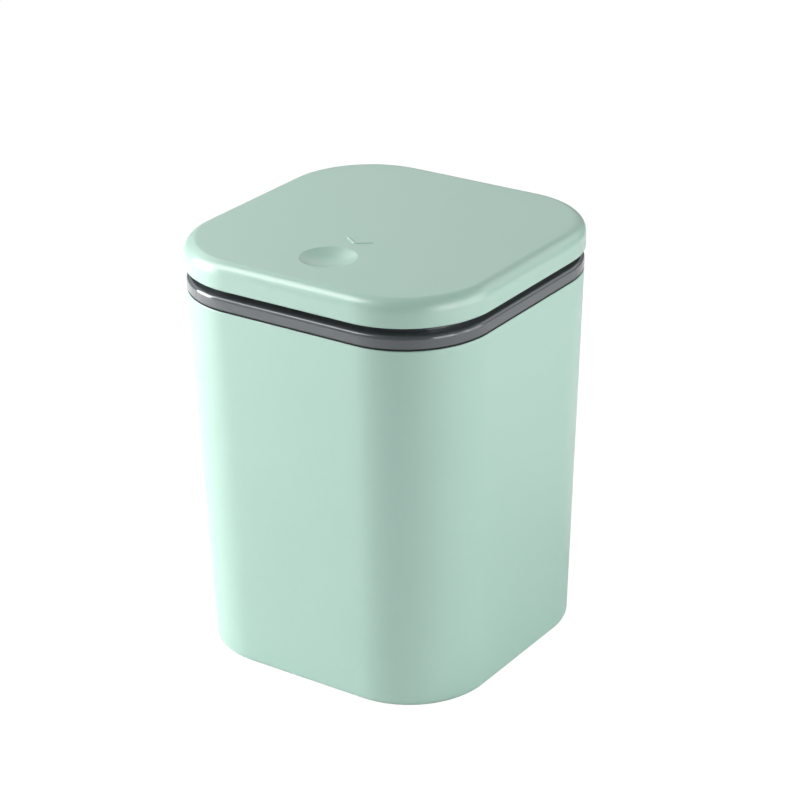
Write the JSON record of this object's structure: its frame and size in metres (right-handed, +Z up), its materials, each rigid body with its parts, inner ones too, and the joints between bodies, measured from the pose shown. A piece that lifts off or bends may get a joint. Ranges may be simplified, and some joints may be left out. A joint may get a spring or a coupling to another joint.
{
  "type": "push top countertop bin",
  "caption": "Small rounded-square countertop bin with a tapered bucket, a lift-off collar and a sprung flip lid that opens at a push.",
  "frame": {"origin": "on the table, under the middle of the bin", "axes": "+X to the right, +Y to the hinge at the back, +Z up"},
  "size_m": [0.135, 0.135, 0.175],
  "materials": {
    "mint": "satin moulded polypropylene",
    "smoke": "glossy smoky grey",
    "inner_grey": "matte dark grey",
    "acetal": "smooth off-white",
    "steel": "bright drawn wire"
  },
  "bodies": {
    "bucket": {"bucket": "mint"},
    "collar": {"collar": "smoke", "latch_case": "inner_grey", "latch_screws": "steel", "latch_spring": "steel"},
    "hinge_pin": {"hinge_pin": "steel", "lid_spring": "steel"},
    "lid": {"lid_cover": "mint", "lid_panel": "inner_grey", "lid_screws": "steel"},
    "latch_slider": {"latch_slider": "acetal"},
    "latch_wire": {"latch_wire": "steel"}
  },
  "joints": [
    {"name": "collar_lift", "type": "slide", "parent": "bucket", "child": "collar", "axis": [0, 0, 1], "range_m": [0, 0.06]},
    {"name": "lid_press", "type": "hinge", "parent": "collar", "child": "hinge_pin", "pos_m": [0, 0.0645, 0.1613], "axis": [-1, 0, 0], "range_deg": [-1.3, 0], "stiffness_Nm_per_rad": 2.5, "springref_deg": 5.16},
    {"name": "lid_open", "type": "hinge", "parent": "hinge_pin", "child": "lid", "pos_m": [0, 0.0645, 0.1613], "axis": [-1, 0, 0], "range_deg": [0, 85], "deforming": ["lid_spring"]},
    {"name": "latch_slide", "type": "slide", "parent": "collar", "child": "latch_slider", "axis": [0, 0, 1], "range_m": [-0.0027, 0], "stiffness_N_per_m": 0.5, "springref_m": 0.0193, "deforming": ["latch_spring"]},
    {"name": "latch_swing", "type": "hinge", "parent": "collar", "child": "latch_wire", "pos_m": [0, -0.0475, 0.1455], "axis": [0, 1, 0], "range_deg": [-2.7, 0]}
  ],
  "couplings": [
    {"joint": "latch_slide", "follows": "lid_press", "m_per_rad": 0.1169},
    {"joint": "latch_swing", "follows": "lid_press", "ratio": 2}
  ]
}
